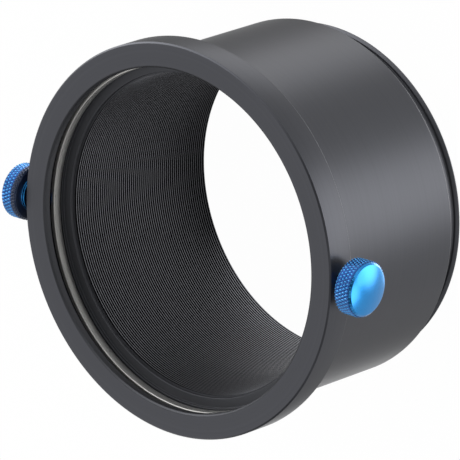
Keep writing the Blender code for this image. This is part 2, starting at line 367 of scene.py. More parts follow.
def make_blue_anodised():
    material, tree, shader = principled("blue_anodised_aluminium")
    place = add(tree, "ShaderNodeTexCoord").outputs["Object"]
    colour, underside = blue_by_place(tree, place)
    streaks = add(tree, "ShaderNodeTexNoise", {
        "Vector": place, "Scale": 1 / POLISH_STREAK, "Detail": 3.0,
    })
    tone = add(tree, "ShaderNodeMapRange", {
        "Value": streaks.outputs[0], "To Min": BLUE_TONES[0], "To Max": BLUE_TONES[1],
    })
    varied = add(tree, "ShaderNodeVectorMath", {
        0: colour, "Scale": tone.outputs[0],
    }, operation="SCALE")
    roughness = add(tree, "ShaderNodeMapRange", {
        "Value": streaks.outputs[0], "To Min": BLUE_ROUGHNESS[0], "To Max": BLUE_ROUGHNESS[1],
    })
    worn = add(tree, "ShaderNodeMix", {
        0: underside, 2: roughness.outputs[0], 3: UNDERSIDE_ROUGHNESS,
    })
    tree.links.new(varied.outputs[0], shader.inputs["Base Color"])
    tree.links.new(worn.outputs[0], shader.inputs["Roughness"])
    shader.inputs["Metallic"].default_value = 1.0
    shader.inputs["Coat Weight"].default_value = OXIDE_COAT
    shader.inputs["Coat Roughness"].default_value = OXIDE_ROUGHNESS
    return material


blue_anodised = make_blue_anodised()
print("Material:", blue_anodised.name)

# %% [markdown]
# ## Bright ring metal
#
# The split ring is bare springy metal, turned and tumbled to a satin silver. It is a metal with a
# pale grey colour, and fine turning lines run round it.

# %% Ring material
RING_SILVER = "C8C7C4"
RING_ROUGHNESS = (0.38, 0.56)
RING_RELIEF = 0.3


def make_ring_metal():
    material, tree, shader = principled("satin_ring_metal")
    radius, height, _ = turned_place(tree)
    lines = lathe_rings(tree, radius, height)
    roughness = add(tree, "ShaderNodeMapRange", {
        "Value": lines, "To Min": RING_ROUGHNESS[0], "To Max": RING_ROUGHNESS[1],
    })
    bump = add(tree, "ShaderNodeBump", {
        "Height": lines, "Strength": RING_RELIEF, "Distance": RELIEF_HEIGHT,
    })
    tree.links.new(roughness.outputs[0], shader.inputs["Roughness"])
    tree.links.new(bump.outputs[0], shader.inputs["Normal"])
    shader.inputs["Base Color"].default_value = linear(RING_SILVER)
    shader.inputs["Metallic"].default_value = 1.0
    return material


ring_metal = make_ring_metal()
print("Material:", ring_metal.name)

# %% [markdown]
# ## Turning with Geometry Nodes
#
# Every piece of this object was made on a lathe, so every piece follows one rule: a section, swept
# round an axis. The section is a chain of points. The tree makes a flat grid with one row for each
# of those points and one column for each step round the axis, and wraps it: a column becomes an
# angle, and a row takes its radius and height from the section. Merging by distance closes the seam
# and the poles. The next trees then press a pattern into the turned wall, as the real tools do.

# %% Tree helpers
FLOAT = "NodeSocketFloat"
INTEGER = "NodeSocketInt"
print("The sizes of a tree are of two kinds:", FLOAT, "and", INTEGER)


def new_tree(name, sizes):
    """A Geometry Nodes tree with geometry in and out, and one named input for each size."""
    tree = bpy.data.node_groups.new(name, "GeometryNodeTree")
    tree.interface.new_socket("Geometry", in_out="OUTPUT", socket_type="NodeSocketGeometry")
    tree.interface.new_socket("Geometry", in_out="INPUT", socket_type="NodeSocketGeometry")
    for label, kind in sizes.items():
        tree.interface.new_socket(label, in_out="INPUT", socket_type=kind)
    tree.interface.new_socket("Material", in_out="INPUT", socket_type="NodeSocketMaterial")
    return tree, add(tree, "NodeGroupInput").outputs


def end_tree(tree, geometry, material):
    """Realises what the tree made, gives it its material, and hands it to the output."""
    real = add(tree, "GeometryNodeRealizeInstances", {"Geometry": geometry})
    painted = add(tree, "GeometryNodeSetMaterial", {
        "Geometry": real.outputs[0], "Material": material,
    })
    add(tree, "NodeGroupOutput", {"Geometry": painted.outputs[0]})
    print("Tree:", tree.name, "with", len(tree.nodes), "nodes")
    return tree


def use_tree(obj, tree, values):
    """Puts a tree on an object as a modifier, with its inputs set by their identifiers."""
    modifier = obj.modifiers.new(tree.name, "NODES")
    modifier.node_group = tree
    for item in tree.interface.items_tree:
        if item.in_out == "INPUT" and item.name in values:
            modifier[item.identifier] = values[item.name]


# %% The turning tree
MERGE_DISTANCE = 0.0005 * MM


def make_turning_tree():
    """Sweeps the object's own chain of points (radius, 0, height) round the Z axis."""
    tree, given = new_tree("turned_section", {"Steps": INTEGER, "Sweep": FLOAT})
    size = add(tree, "GeometryNodeAttributeDomainSize", {"Geometry": given["Geometry"]})
    columns = add(tree, "ShaderNodeMath", {0: given["Steps"], 1: 1.0}, operation="ADD")
    grid = add(tree, "GeometryNodeMeshGrid", {
        "Vertices X": columns.outputs[0], "Vertices Y": size.outputs["Point Count"],
    })
    point = add(tree, "GeometryNodeInputPosition").outputs[0]
    place = add(tree, "ShaderNodeSeparateXYZ", {0: point})
    turn = add(tree, "ShaderNodeMath", {0: 0.5, 1: place.outputs[0]}, operation="SUBTRACT")
    angle = add(tree, "ShaderNodeMath", {
        0: turn.outputs[0], 1: given["Sweep"],
    }, operation="MULTIPLY")
    share = add(tree, "ShaderNodeMath", {0: place.outputs[1], 1: 0.5}, operation="ADD")
    last = add(tree, "ShaderNodeMath", {
        0: size.outputs["Point Count"], 1: 1.0,
    }, operation="SUBTRACT")
    row = add(tree, "ShaderNodeMath", {
        0: share.outputs[0], 1: last.outputs[0],
    }, operation="MULTIPLY")
    whole_row = add(tree, "ShaderNodeMath", {0: row.outputs[0]}, operation="ROUND")
    sample = add(tree, "GeometryNodeSampleIndex", {
        "Geometry": given["Geometry"], "Value": point, "Index": whole_row.outputs[0],
    }, data_type="FLOAT_VECTOR")
    section = add(tree, "ShaderNodeSeparateXYZ", {0: sample.outputs[0]})
    cosine = add(tree, "ShaderNodeMath", {0: angle.outputs[0]}, operation="COSINE")
    sine = add(tree, "ShaderNodeMath", {0: angle.outputs[0]}, operation="SINE")
    across = add(tree, "ShaderNodeMath", {
        0: section.outputs[0], 1: cosine.outputs[0],
    }, operation="MULTIPLY")
    along = add(tree, "ShaderNodeMath", {
        0: section.outputs[0], 1: sine.outputs[0],
    }, operation="MULTIPLY")
    wrapped = add(tree, "ShaderNodeCombineXYZ", {
        0: across.outputs[0], 1: along.outputs[0], 2: section.outputs[2],
    })
    turned = add(tree, "GeometryNodeSetPosition", {
        "Geometry": grid.outputs[0], "Position": wrapped.outputs[0],
    })
    closed = add(tree, "GeometryNodeMergeByDistance", {
        "Geometry": turned.outputs[0], "Distance": MERGE_DISTANCE,
    })
    return end_tree(tree, closed.outputs[0], given["Material"])


turning_tree = make_turning_tree()

# %% [markdown]
# ## Patterns pressed into a turned wall
#
# Three patterns cover the object: ridges in the bore, a thread on each screw's shank and a diamond
# knurl on its head. Each is a rule that says how far a point of the wall moves in or out, from the
# point's angle and height. For ridges the rule is a square wave along the axis: the wall is either
# crest or groove. For a thread it is a triangle wave that also runs round the axis, one pitch each
# turn. A knurl is two such threads of opposite hand, and the lower of the two heights at each point
# leaves a field of small pyramids.

# %% Pattern helpers
PATTERN_SIZES = {
    "Wall Radius": FLOAT, "From": FLOAT, "To": FLOAT, "Pitch": FLOAT, "Depth": FLOAT,
}
PATTERN_INSET = 0.01 * MM


def wall_reading(tree, given):
    """Each point's turn, pitch and way out, and whether it lies on the chosen wall."""
    place = add(tree, "GeometryNodeInputPosition").outputs[0]
    split = add(tree, "ShaderNodeSeparateXYZ", {0: place})
    height = split.outputs[2]
    angle = add(tree, "ShaderNodeMath", {
        0: split.outputs[1], 1: split.outputs[0],
    }, operation="ARCTAN2")
    turns = add(tree, "ShaderNodeMath", {0: angle.outputs[0], 1: math.tau}, operation="DIVIDE")
    flat = add(tree, "ShaderNodeCombineXYZ", {0: split.outputs[0], 1: split.outputs[1]})
    radius = add(tree, "ShaderNodeVectorMath", {0: flat.outputs[0]}, operation="LENGTH")
    outward = add(tree, "ShaderNodeVectorMath", {0: flat.outputs[0]}, operation="NORMALIZE")
    on_wall = add(tree, "ShaderNodeMath", {
        0: radius.outputs["Value"], 1: given["Wall Radius"], 2: PATTERN_INSET,
    }, operation="COMPARE")
    above = add(tree, "ShaderNodeMath", {0: height, 1: given["From"]}, operation="GREATER_THAN")
    below = add(tree, "ShaderNodeMath", {0: height, 1: given["To"]}, operation="LESS_THAN")
    between = add(tree, "ShaderNodeMath", {
        0: above.outputs[0], 1: below.outputs[0],
    }, operation="MULTIPLY")
    chosen = add(tree, "ShaderNodeMath", {
        0: between.outputs[0], 1: on_wall.outputs[0],
    }, operation="MULTIPLY")
    rise = add(tree, "ShaderNodeMath", {0: height, 1: given["From"]}, operation="SUBTRACT")
    pitches = add(tree, "ShaderNodeMath", {
        0: rise.outputs[0], 1: given["Pitch"],
    }, operation="DIVIDE")
    return turns.outputs[0], pitches.outputs[0], outward.outputs[0], chosen.outputs[0]


def move_wall(tree, given, outward, chosen, height):
    """Moves the chosen points outward by the Depth input times a height, and ends the tree."""
    distance = add(tree, "ShaderNodeMath", {0: height, 1: given["Depth"]}, operation="MULTIPLY")
    shift = add(tree, "ShaderNodeVectorMath", {
        0: outward, "Scale": distance.outputs[0],
    }, operation="SCALE")
    moved = add(tree, "GeometryNodeSetPosition", {
        "Geometry": given["Geometry"], "Selection": chosen, "Offset": shift.outputs[0],
    })
    return end_tree(tree, moved.outputs[0], given["Material"])


print("Each pattern takes:", ", ".join(PATTERN_SIZES))

# %% Ridge and thread trees
THREAD_CREST = 0.06
THREAD_ROOT = 0.46


def make_ridge_tree():
    """Square grooves round the bore, with the crests between them on the bore's own radius."""
    tree, given = new_tree("bore_ridges", {**PATTERN_SIZES, "Crest Share": FLOAT})
    _, pitches, outward, chosen = wall_reading(tree, given)
    share = add(tree, "ShaderNodeMath", {0: pitches}, operation="FRACT")
    groove = add(tree, "ShaderNodeMath", {
        0: share.outputs[0], 1: given["Crest Share"],
    }, operation="GREATER_THAN")
    return move_wall(tree, given, outward, chosen, groove.outputs[0])


def make_thread_tree():
    """A right-hand thread cut inward, with a narrow flat left on its crest."""
    tree, given = new_tree("screw_thread", PATTERN_SIZES)
    turns, pitches, outward, chosen = wall_reading(tree, given)
    helix = add(tree, "ShaderNodeMath", {0: pitches, 1: turns}, operation="SUBTRACT")
    wave = add(tree, "ShaderNodeMath", {0: helix.outputs[0], 1: 0.5}, operation="PINGPONG")
    height = add(tree, "ShaderNodeMapRange", {
        "Value": wave.outputs[0],
        "From Min": THREAD_CREST, "From Max": THREAD_ROOT, "To Min": 0.0, "To Max": -1.0,
    })
    return move_wall(tree, given, outward, chosen, height.outputs[0])


ridge_tree = make_ridge_tree()
thread_tree = make_thread_tree()

# %% Knurl tree
DIAMOND_ROOT = 0.04
DIAMOND_TOP = 0.34


def make_knurl_tree():
    """Two opposite families of grooves, whose lower height stands: a field of small pyramids."""
    tree, given = new_tree("diamond_knurl", {**PATTERN_SIZES, "Diamonds": INTEGER})
    turns, pitches, outward, chosen = wall_reading(tree, given)
    around = add(tree, "ShaderNodeMath", {0: turns, 1: given["Diamonds"]}, operation="MULTIPLY")
    heights = []
    for hand in ("ADD", "SUBTRACT"):
        lead = add(tree, "ShaderNodeMath", {0: around.outputs[0], 1: pitches}, operation=hand)
        wave = add(tree, "ShaderNodeMath", {0: lead.outputs[0], 1: 0.5}, operation="PINGPONG")
        heights.append(wave.outputs[0])
    lower = add(tree, "ShaderNodeMath", {0: heights[0], 1: heights[1]}, operation="MINIMUM")
    height = add(tree, "ShaderNodeMapRange", {
        "Value": lower.outputs[0], "From Min": DIAMOND_ROOT, "From Max": DIAMOND_TOP,
    })
    return move_wall(tree, given, outward, chosen, height.outputs[0])


knurl_tree = make_knurl_tree()

# %% [markdown]
# ## From a section to a finished mesh
#
# A section is written as a chain of corners (radius, height, break), where the break says how far
# that edge is rounded. No real edge is perfectly sharp, and a tiny round is what catches the light
# along it. Walls that will carry a pattern get many evenly spaced points. The chain becomes a mesh
# of points and edges, the trees run on it, and the result is kept as a plain mesh.

# %% Section helpers
EDGE_STEPS = 4
SHARP_DEGREES = 30.0


def rounded(corners):
    """Points (radius, height) of a chain of corners, with each corner's break made a small arc."""
    points = []
    for i, (radius, height, size) in enumerate(corners):
        if not size:
            points.append((radius, height))
            continue
        here = Vector((radius, height))
        before = here + (Vector(corners[i - 1][:2]) - here).normalized() * size
        after = here + (Vector(corners[i + 1][:2]) - here).normalized() * size
        for step in range(EDGE_STEPS + 1):
            share = step / EDGE_STEPS
            bend = before * (1 - share) ** 2 + here * 2 * share * (1 - share) + after * share ** 2
            points.append((bend.x, bend.y))
    return points


def wall(radius, start, end, pieces):
    """The points inside a straight wall from height start to height end, without the two ends."""
    return [(radius, start + (end - start) * i / pieces) for i in range(1, pieces)]


def section_object(name, points):
    """An object whose mesh is the section's chain of points and edges, in the XZ plane."""
    mesh = bpy.data.meshes.new(name)
    edges = [(i, i + 1) for i in range(len(points) - 1)]
    mesh.from_pydata([(r, 0.0, z) for r, z in points], edges, [])
    obj = bpy.data.objects.new(name, mesh)
    bpy.context.scene.collection.objects.link(obj)
    return obj


print("An edge is rounded with", EDGE_STEPS, "steps")

# %% Keep what the trees made
def settle(obj, place=Matrix.Identity(4)):
    """Keeps what the trees made as the object's own mesh, in its place, with sharp edges marked."""
    graph = bpy.context.evaluated_depsgraph_get()
    mesh = bpy.data.meshes.new_from_object(obj.evaluated_get(graph))
    obj.modifiers.clear()
    obj.data = mesh
    mesh.name = obj.name
    shape = bmesh.new()
    shape.from_mesh(mesh)
    ends = [edge for edge in shape.edges if edge.is_boundary]
    if ends:
        bmesh.ops.holes_fill(shape, edges=ends)
        bmesh.ops.recalc_face_normals(shape, faces=shape.faces)
    shape.transform(place)
    print(obj.name, "triangles:", sum(len(face.verts) - 2 for face in shape.faces),
          "ends filled:", len(ends),
          "open edges:", sum(edge.is_boundary for edge in shape.edges),
          "volume in mm3:", round(shape.calc_volume(signed=True) / MM ** 3, 1))
    shape.to_mesh(mesh)
    shape.free()
    mesh.shade_smooth()
    mesh.set_sharp_from_angle(angle=math.radians(SHARP_DEGREES))


print("Edges over", SHARP_DEGREES, "degrees are shaded sharp")

# %% [markdown]
# ## The tube
#
# The tube is one turned piece. From the outside: a collar, the body, and a short spigot of the
# barrel's size behind an undercut. From the inside: the socket with the ring's groove, the shoulder
# that the barrel stops on, a short plain land, and a bore full of ridges. Its radii come from the
# barrel that it takes, and its length and the collar's radius come from the frame's solid. The
# larger edges are straight chamfers, and every other edge has a small round break.

# %% Tube sizes
FRONT = tube_high.z
COLLAR_RADIUS = tube_high.x
BARREL_RADIUS = 38.1 * MM
BODY_RADIUS = BARREL_RADIUS + 1.8 * MM
NECK_RADIUS = BARREL_RADIUS - 1.1 * MM
BORE_RADIUS = BARREL_RADIUS - 2.4 * MM
LAND_RADIUS = BORE_RADIUS + 0.35 * MM
SOCKET_RADIUS = BARREL_RADIUS + 0.1 * MM
GROOVE_RADIUS = SOCKET_RADIUS + 1.7 * MM
COLLAR_BACK = FRONT - 6.9 * MM
SPIGOT_TOP = 5.0 * MM
RIM_TOP = 1.0 * MM
GROOVE_FRONT = FRONT - 1.8 * MM
GROOVE_BACK = FRONT - 5.6 * MM
SHOULDER = FRONT - 6.3 * MM
LAND_BACK = SHOULDER - 0.85 * MM
COLLAR_CHAMFER = 0.35 * MM
MOUTH_CHAMFER = 0.35 * MM
RIM_CHAMFER = 0.25 * MM
RIM_SLOPE = 0.55 * MM
BODY_BREAK = 0.55 * MM
COLLAR_BACK_BREAK = 0.3 * MM
SHOULDER_BREAK = 0.22 * MM
WIDE_BREAK = 0.12 * MM
FINE_BREAK = 0.05 * MM
print("Tube: length", round(FRONT / MM, 2), "mm, collar radius", round(COLLAR_RADIUS / MM, 2), "mm")

# %% Tube section
RIDGE_PITCH = 0.673 * MM
RIDGE_DEPTH = 0.36 * MM
CREST_SHARE = 0.34
RIDGE_EDGE = 0.03
RIDGE_ROWS = (RIDGE_EDGE, CREST_SHARE - RIDGE_EDGE, CREST_SHARE + RIDGE_EDGE, 1.0 - RIDGE_EDGE)

inside = [
    (BORE_RADIUS, LAND_BACK, 0.0),
    (LAND_RADIUS, LAND_BACK, FINE_BREAK),
    (LAND_RADIUS, SHOULDER, SHOULDER_BREAK),
    (SOCKET_RADIUS, SHOULDER, WIDE_BREAK),
    (SOCKET_RADIUS, GROOVE_BACK, WIDE_BREAK),
    (GROOVE_RADIUS, GROOVE_BACK, 0.0),
    (GROOVE_RADIUS, GROOVE_FRONT, 0.0),
    (SOCKET_RADIUS, GROOVE_FRONT, FINE_BREAK),
    (SOCKET_RADIUS, FRONT - MOUTH_CHAMFER, FINE_BREAK),
    (SOCKET_RADIUS + MOUTH_CHAMFER, FRONT, FINE_BREAK),
]
outside = [
    (COLLAR_RADIUS - COLLAR_CHAMFER, FRONT, FINE_BREAK),
    (COLLAR_RADIUS, FRONT - COLLAR_CHAMFER, FINE_BREAK),
    (COLLAR_RADIUS, COLLAR_BACK, COLLAR_BACK_BREAK),
    (BODY_RADIUS, COLLAR_BACK, WIDE_BREAK),
    (BODY_RADIUS, SPIGOT_TOP, BODY_BREAK),
    (NECK_RADIUS, SPIGOT_TOP, WIDE_BREAK),
    (NECK_RADIUS, RIM_TOP, WIDE_BREAK),
    (BARREL_RADIUS - RIM_SLOPE, RIM_TOP, FINE_BREAK),
    (BARREL_RADIUS, RIM_TOP - RIM_SLOPE, FINE_BREAK),
    (BARREL_RADIUS, RIM_CHAMFER, FINE_BREAK),
    (BARREL_RADIUS - RIM_CHAMFER, 0.0, FINE_BREAK),
    (BORE_RADIUS + RIM_CHAMFER, 0.0, FINE_BREAK),
    (BORE_RADIUS, RIM_CHAMFER, 0.0),
]
ridge_count = round((LAND_BACK - RIM_CHAMFER) / RIDGE_PITCH)
ridge_pitch = (LAND_BACK - RIM_CHAMFER) / ridge_count
tube_section = rounded(inside + outside)
for i in range(ridge_count):
    tube_section += [(BORE_RADIUS, RIM_CHAMFER + (i + share) * ridge_pitch) for share in RIDGE_ROWS]
tube_section.append(tube_section[0])
print("Section:", len(tube_section), "points,", ridge_count, "ridges")

# %% [markdown]
# Two tapped holes cross the collar's wall and end in the ring's groove. A drill is a cylinder, so
# one small tree puts a cylinder on each of two points, turns it to lie along X, and takes both away
# from the turned tube.

# %% Drilling tree
DRILL_STEPS = 48


def make_drilling_tree():
    """Takes two cylinders along X away from a wall that lies between two radii."""
    tree, given = new_tree("cross_holes", {
        "Hole Radius": FLOAT, "Inner Radius": FLOAT, "Outer Radius": FLOAT, "Height": FLOAT,
    })
    depth = add(tree, "ShaderNodeMath", {
        0: given["Outer Radius"], 1: given["Inner Radius"],
    }, operation="SUBTRACT")
    drill = add(tree, "GeometryNodeMeshCylinder", {
        "Vertices": DRILL_STEPS, "Radius": given["Hole Radius"], "Depth": depth.outputs[0],
    })
    total = add(tree, "ShaderNodeMath", {
        0: given["Outer Radius"], 1: given["Inner Radius"],
    }, operation="ADD")
    middle = add(tree, "ShaderNodeMath", {0: total.outputs[0], 1: 0.5}, operation="MULTIPLY")
    left = add(tree, "ShaderNodeMath", {0: middle.outputs[0], 1: -1.0}, operation="MULTIPLY")
    start = add(tree, "ShaderNodeCombineXYZ", {0: left.outputs[0], 2: given["Height"]})
    end = add(tree, "ShaderNodeCombineXYZ", {0: middle.outputs[0], 2: given["Height"]})
    sides = add(tree, "GeometryNodeMeshLine", {
        "Count": 2, "Start Location": start.outputs[0], "Offset": end.outputs[0],
    }, mode="END_POINTS")
    drills = add(tree, "GeometryNodeInstanceOnPoints", {
        "Points": sides.outputs[0], "Instance": drill.outputs[0],
        "Rotation": (0.0, math.pi / 2, 0.0),
    })
    real = add(tree, "GeometryNodeRealizeInstances", {"Geometry": drills.outputs[0]})
    drilled = add(tree, "GeometryNodeMeshBoolean", {
        "Mesh 1": given["Geometry"], "Mesh 2": real.outputs[0],
    }, operation="DIFFERENCE", solver="EXACT")
    return end_tree(tree, drilled.outputs[0], given["Material"])


drilling_tree = make_drilling_tree()

# %% Make the tube
TUBE_STEPS = 192
HOLE_RADIUS = 2.1 * MM
DRILL_INNER = 39.7 * MM
DRILL_OUTER = COLLAR_RADIUS + 1.0 * MM

tube = section_object("fine_tube", tube_section)
use_tree(tube, turning_tree, {
    "Steps": TUBE_STEPS, "Sweep": math.tau, "Material": black_anodised,
})
use_tree(tube, ridge_tree, {
    "Wall Radius": BORE_RADIUS, "From": RIM_CHAMFER, "To": LAND_BACK - PATTERN_INSET,
    "Pitch": ridge_pitch, "Depth": RIDGE_DEPTH, "Crest Share": CREST_SHARE,
    "Material": black_anodised,
})
use_tree(tube, drilling_tree, {
    "Hole Radius": HOLE_RADIUS, "Inner Radius": DRILL_INNER, "Outer Radius": DRILL_OUTER,
    "Height": screw_height, "Material": black_anodised,
})
settle(tube)
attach(tube, "tube")
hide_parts("tube")

# %% [markdown]
# ## The compression ring
#
# The ring is a flat strip of springy metal, rolled into a circle that doesn't quite close, with its
# front inner edge rounded to lead the barrel in. The same turning tree makes it from a small closed
# section, with a sweep that stops short of a full turn. The two cut ends are then filled. It hangs
# a little low in its groove, as a loose ring does.

# %% Make the ring
ring_low, ring_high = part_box("compression_ring")
RING_OUTER = ring_high.x
RING_INNER = RING_OUTER - 1.0 * MM
RING_SLOT = 2.5 * MM
RING_LEAD_IN = 0.35 * MM
RING_BACK_BREAK = 0.3 * MM
RING_STEPS = 240
ring_centre = ring_low.y + RING_OUTER

ring_section = rounded([
    (RING_OUTER, (ring_low.z + ring_high.z) / 2, 0.0),
    (RING_OUTER, ring_low.z, FINE_BREAK),
    (RING_INNER, ring_low.z, RING_BACK_BREAK),
    (RING_INNER, ring_high.z, RING_LEAD_IN),
    (RING_OUTER, ring_high.z, FINE_BREAK),
    (RING_OUTER, (ring_low.z + ring_high.z) / 2, 0.0),
])
ring = section_object("fine_compression_ring", ring_section)
use_tree(ring, turning_tree, {
    "Steps": RING_STEPS, "Sweep": math.tau - RING_SLOT / RING_INNER, "Material": ring_metal,
})
slot_turn = math.pi / 2 + RING_SLOT / RING_INNER / 2
settle(ring, Matrix.Translation((0.0, ring_centre, 0.0)) @ Matrix.Rotation(slot_turn, 4, "Z"))
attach(ring, "tube")
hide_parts("compression_ring")

# %% [markdown]
# ## The thumbscrews
#
# Each screw is turned from one bar: a crowned head with a diamond knurl round it for the fingers, a
# small shoulder, an M4 thread, and a plain nose that presses on the ring. It is made upright, with
# the underside of its head at zero, and then laid on its side in the frame's place.

# %% Screw sizes
HEAD_RADIUS = 6.15 * MM
HEAD_BEVEL = 0.25 * MM
KNURL_DEPTH = 0.25 * MM
KNURL_PITCH = 1.56 * MM
KNURL_LENGTH = 3.7 * MM
KNURL_ROWS = 36
KNURL_DIAMONDS = 47
KNURL_ROOT = HEAD_RADIUS - KNURL_DEPTH
KNURL_TOP = HEAD_BEVEL + KNURL_LENGTH
CROWN_BEVEL = 0.45 * MM
DOME_EDGE = KNURL_TOP + CROWN_BEVEL
DOME_RADIUS = KNURL_ROOT - CROWN_BEVEL
DOME_HEIGHT = 0.8 * MM
DOME_RINGS = 10
SHOULDER_RADIUS = 3.9 * MM
SHOULDER_LOW = -0.7 * MM
THREAD_RADIUS = 2.0 * MM
THREAD_PITCH = 0.7 * MM
THREAD_DEPTH = 0.4 * MM
THREAD_LOW = SHOULDER_LOW - 4.0 * MM
POINTS_PER_THREAD = 8
NOSE_RADIUS = 1.5 * MM
NOSE_BREAK = 0.25 * MM
TIP = THREAD_LOW - 0.9 * MM
print("Screw:", round((DOME_EDGE + DOME_HEIGHT - TIP) / MM, 2), "mm long")

# %% Screw section
dome_sphere = (DOME_RADIUS ** 2 + DOME_HEIGHT ** 2) / (2 * DOME_HEIGHT)
dome_half = math.asin(DOME_RADIUS / dome_sphere)
screw_section = []
for i in range(DOME_RINGS):
    lean = dome_half * i / DOME_RINGS
    fall = dome_sphere * (1 - math.cos(lean))
    screw_section.append((dome_sphere * math.sin(lean), DOME_EDGE + DOME_HEIGHT - fall))
screw_section += rounded([
    (*screw_section[-1], 0.0),
    (DOME_RADIUS, DOME_EDGE, FINE_BREAK),
    (KNURL_ROOT, KNURL_TOP, 0.0),
])[1:]
screw_section += wall(KNURL_ROOT, KNURL_TOP, HEAD_BEVEL, KNURL_ROWS)
screw_section += rounded([
    (KNURL_ROOT, HEAD_BEVEL, 0.0),
    (KNURL_ROOT - HEAD_BEVEL, 0.0, FINE_BREAK),
    (SHOULDER_RADIUS, 0.0, WIDE_BREAK),
    (SHOULDER_RADIUS, SHOULDER_LOW, WIDE_BREAK),
    (THREAD_RADIUS, SHOULDER_LOW, 0.0),
])
thread_pieces = round((SHOULDER_LOW - THREAD_LOW) / THREAD_PITCH * POINTS_PER_THREAD)
screw_section += wall(THREAD_RADIUS, SHOULDER_LOW, THREAD_LOW, thread_pieces)
screw_section += rounded([
    (THREAD_RADIUS, THREAD_LOW, 0.0),
    (NOSE_RADIUS, THREAD_LOW, 0.0),
    (NOSE_RADIUS, TIP, NOSE_BREAK),
    (0.0, TIP, 0.0),
])
print("Screw section:", len(screw_section), "points")

# %% Make the screws
STEPS_PER_DIAMOND = 8


def make_thumbscrew(name, node, side):
    """One screw in its node's place, with its head towards +X (side 1) or -X (side -1)."""
    low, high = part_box(node)
    top = high.x if side > 0 else -low.x
    screw = section_object(name, screw_section)
    use_tree(screw, turning_tree, {
        "Steps": KNURL_DIAMONDS * STEPS_PER_DIAMOND, "Sweep": math.tau, "Material": blue_anodised,
    })
    use_tree(screw, knurl_tree, {
        "Wall Radius": KNURL_ROOT, "From": HEAD_BEVEL, "To": KNURL_TOP - PATTERN_INSET,
        "Pitch": KNURL_PITCH, "Depth": KNURL_DEPTH, "Diamonds": KNURL_DIAMONDS,
        "Material": blue_anodised,
    })
    use_tree(screw, thread_tree, {
        "Wall Radius": THREAD_RADIUS, "From": THREAD_LOW, "To": SHOULDER_LOW - PATTERN_INSET,
        "Pitch": THREAD_PITCH, "Depth": THREAD_DEPTH, "Material": blue_anodised,
    })
    underside = top - DOME_EDGE - DOME_HEIGHT
    lie_down = Matrix.Rotation(side * math.pi / 2, 4, "Y")
    settle(screw, Matrix.Translation((side * underside, 0.0, screw_height)) @ lie_down)
    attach(screw, node)
    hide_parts(node)


make_thumbscrew("fine_right_thumbscrew", "right_thumbscrew", 1)
make_thumbscrew("fine_left_thumbscrew", "left_thumbscrew", -1)

# %% [markdown]
# ## The floor
#
# The photograph has a pure white ground. The floor here is a wide pale plane that the tube stands
# on. To the camera most of its white is its own, so it stays white in the picture, and the rest is
# lit, so the tube still drops a soft shadow on it. Mirror rays pass it and meet the studio of a
# later step.

# %% Floor
FLOOR_SIZE = 6.0
FLOOR_WHITE = "F4F4F4"
FLOOR_ROUGHNESS = 0.9
OWN_WHITE = 0.98


def stage_mesh(name, corners, faces, material):
    """A piece of the stage, which is no part of the object."""
    mesh = bpy.data.meshes.new(name)
    mesh.from_pydata(corners, [], faces)
    mesh.materials.append(material)
    obj = bpy.data.objects.new(name, mesh)
    bpy.context.scene.collection.objects.link(obj)
    return obj


def seen_directly(tree):
    """1 for the camera's own rays and for those that have passed through something clear."""
    path = add(tree, "ShaderNodeLightPath")
    return add(tree, "ShaderNodeMath", {
        0: path.outputs["Is Camera Ray"], 1: path.outputs["Is Transmission Ray"],
    }, operation="MAXIMUM").outputs[0]


def make_floor():
    material, tree, shader = principled("white_studio_floor")
    shader.inputs["Base Color"].default_value = linear(FLOOR_WHITE)
    shader.inputs["Roughness"].default_value = FLOOR_ROUGHNESS
    share = add(tree, "ShaderNodeMath", {
        0: seen_directly(tree), 1: OWN_WHITE,
    }, operation="MULTIPLY")
    white = add(tree, "ShaderNodeEmission", {"Strength": 1.0})
    mixed = add(tree, "ShaderNodeMixShader", {
        0: share.outputs[0], 1: shader.outputs[0], 2: white.outputs[0],
    })
    tree.links.new(mixed.outputs[0], tree.nodes["Material Output"].inputs["Surface"])
    half = FLOOR_SIZE / 2
    corners = [(-half, -half, 0.0), (half, -half, 0.0), (half, half, 0.0), (-half, half, 0.0)]
    floor = stage_mesh("floor", corners, [(0, 1, 2, 3)], material)
    floor.visible_glossy = False


make_floor()
print("Floor:", FLOOR_SIZE, "m wide")

# %% [markdown]
# The wall of the bore mirrors the white ground below it, and that light is what shows its ridges.
# So a small disc lies there for mirror rays alone. It is brighter towards +X, and brighter still at
# one edge, as the ground is where light reaches in.

# %% Disc under the bore
DISC_RADIUS = 38.0 * MM
DISC_DEPTH = 0.05 * MM
DISC_STEPS = 48
DISC_BASE_LIGHT = (0.25, 0.9)
DISC_BASE_SPAN = (-30 * MM, -16 * MM)
DISC_SIDE_LIGHT = 1.6
DISC_SIDE_SPAN = (22 * MM, 36 * MM)
DISC_BRIGHT_SIDE = math.radians(-105)


